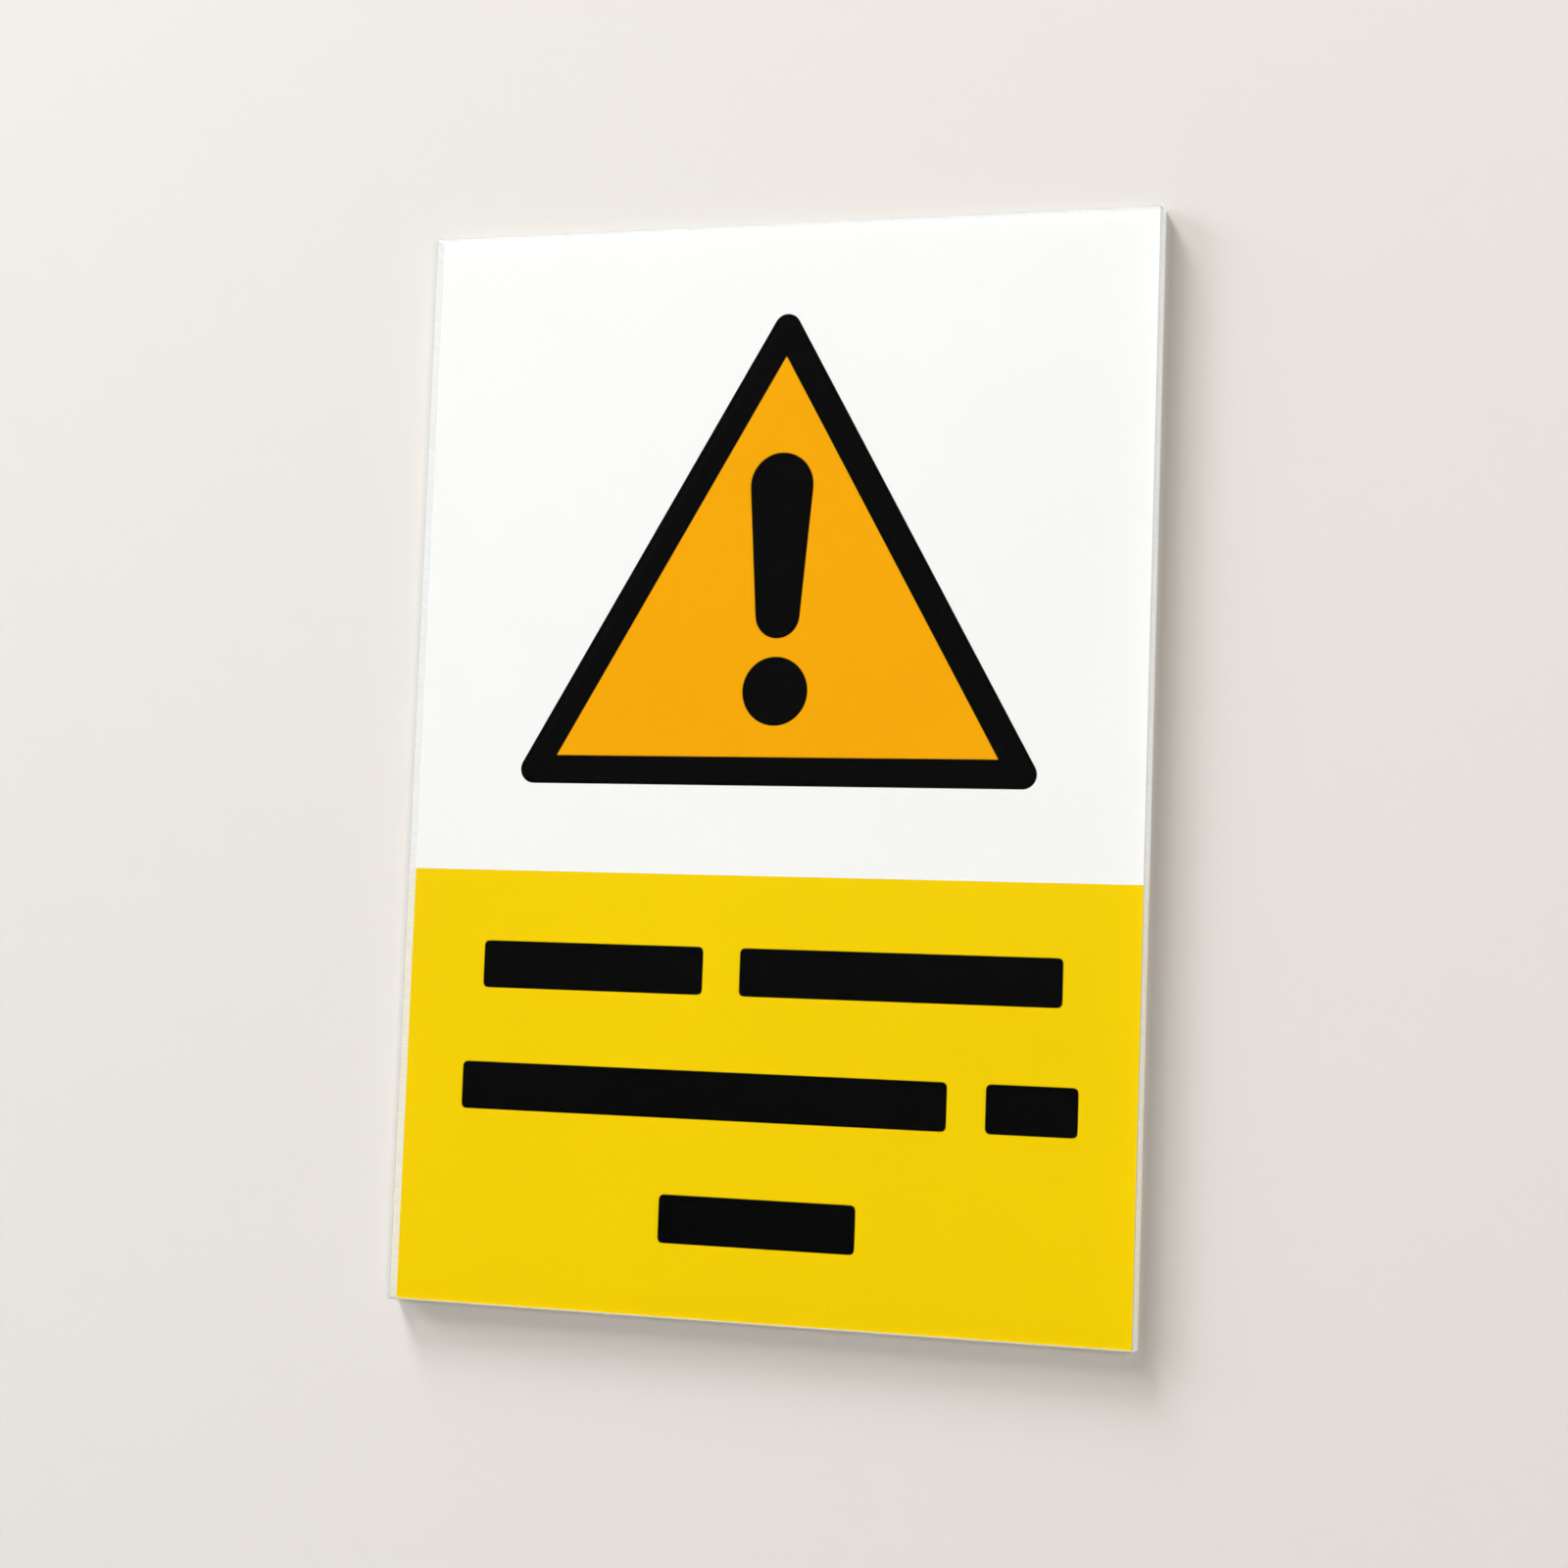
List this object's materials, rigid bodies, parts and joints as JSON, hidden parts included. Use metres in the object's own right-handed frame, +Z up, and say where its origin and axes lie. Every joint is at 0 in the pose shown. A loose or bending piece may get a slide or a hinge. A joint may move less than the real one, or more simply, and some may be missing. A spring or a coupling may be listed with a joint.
{
  "type": "anti-climb warning sign",
  "caption": "Flat upright wall sign: a clear plastic sheet with a white and yellow print and a warning triangle on its back.",
  "frame": {"origin": "middle of the back face, which lies against the wall", "axes": "+X to the reader's right, +Z up, +Y into the wall; the sign is read from the -Y side"},
  "size_m": [0.21, 0.005, 0.297],
  "materials": {
    "clear_acrylic": "polished",
    "white_film": "satin",
    "yellow_ink": "gloss",
    "amber_ink": "gloss",
    "black_ink": "gloss"
  },
  "bodies": {
    "root": {"backing_film": "white_film", "yellow_panel": "yellow_ink", "triangle_border": "black_ink", "triangle_field": "amber_ink", "exclamation_mark": "black_ink", "legend_bars": "black_ink", "clear_sheet": "clear_acrylic"}
  },
  "joints": []
}
